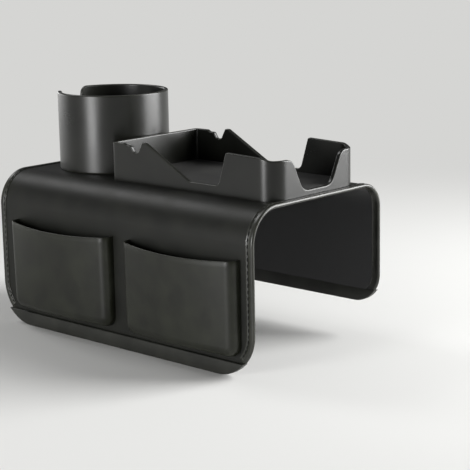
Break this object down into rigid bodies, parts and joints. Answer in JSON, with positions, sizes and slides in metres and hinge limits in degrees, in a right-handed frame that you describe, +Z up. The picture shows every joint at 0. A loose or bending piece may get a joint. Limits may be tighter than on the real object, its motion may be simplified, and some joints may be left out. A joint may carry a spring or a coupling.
{
  "type": "sofa arm tray",
  "caption": "Leather saddle for a sofa arm with an open notched tray, a cup holder with a handle slot, and moulded side pockets on a hanging flap.",
  "frame": {"origin": "centre of the level panel's underside, where the saddle rests on the sofa arm", "axes": "+X across the arm from the outside to the seat, +Y along the arm from front to rear, +Z up"},
  "size_m": [0.2048, 0.342, 0.231],
  "materials": {
    "skin_leather": "satin",
    "binding_leather": "satin",
    "pocket_leather": "satin",
    "stiffening_board": "matte",
    "bend_foam": "matte",
    "lining_cloth": "matte",
    "moulded_plastic": "satin",
    "mat_rubber": "matte",
    "bar_steel": "plain",
    "rivet_metal": "plain"
  },
  "bodies": {
    "saddle_top": {"top_skin": "skin_leather", "top_board": "stiffening_board", "top_lining": "lining_cloth", "top_front_binding": "binding_leather", "top_rear_binding": "binding_leather", "outer_bend_skin": "skin_leather", "outer_bend_foam": "bend_foam", "outer_bend_lining": "lining_cloth", "outer_bend_front_binding": "binding_leather", "outer_bend_rear_binding": "binding_leather", "inner_bend_skin": "skin_leather", "inner_bend_foam": "bend_foam", "inner_bend_lining": "lining_cloth", "inner_bend_front_binding": "binding_leather", "inner_bend_rear_binding": "binding_leather", "tray_shell": "moulded_plastic", "tray_mat": "mat_rubber", "tray_rivets": "rivet_metal", "cup_shell": "moulded_plastic", "cup_mat": "mat_rubber", "cup_rivets": "rivet_metal"},
    "outer_flap": {"outer_flap_skin": "skin_leather", "outer_flap_board": "stiffening_board", "outer_flap_lining": "lining_cloth", "outer_flap_front_binding": "binding_leather", "outer_flap_rear_binding": "binding_leather", "outer_hem_cover": "binding_leather", "outer_weight_bar": "bar_steel", "front_pocket": "pocket_leather", "rear_pocket": "pocket_leather"},
    "inner_flap": {"inner_flap_skin": "skin_leather", "inner_flap_board": "stiffening_board", "inner_flap_lining": "lining_cloth", "inner_flap_front_binding": "binding_leather", "inner_flap_rear_binding": "binding_leather", "inner_hem_cover": "binding_leather", "inner_weight_bar": "bar_steel"}
  },
  "joints": [
    {"name": "outer_flap_fold", "type": "hinge", "parent": "saddle_top", "child": "outer_flap", "pos_m": [-0.08774, 0, -0.00526], "axis": [0, 1, 0], "range_deg": [-15, 90], "deforming": ["outer_bend_skin", "outer_bend_foam", "outer_bend_lining", "outer_bend_front_binding", "outer_bend_rear_binding"]},
    {"name": "inner_flap_fold", "type": "hinge", "parent": "saddle_top", "child": "inner_flap", "pos_m": [0.08067, 0, -0.00333], "axis": [0, -1, 0], "range_deg": [-15, 90], "deforming": ["inner_bend_skin", "inner_bend_foam", "inner_bend_lining", "inner_bend_front_binding", "inner_bend_rear_binding"]}
  ]
}
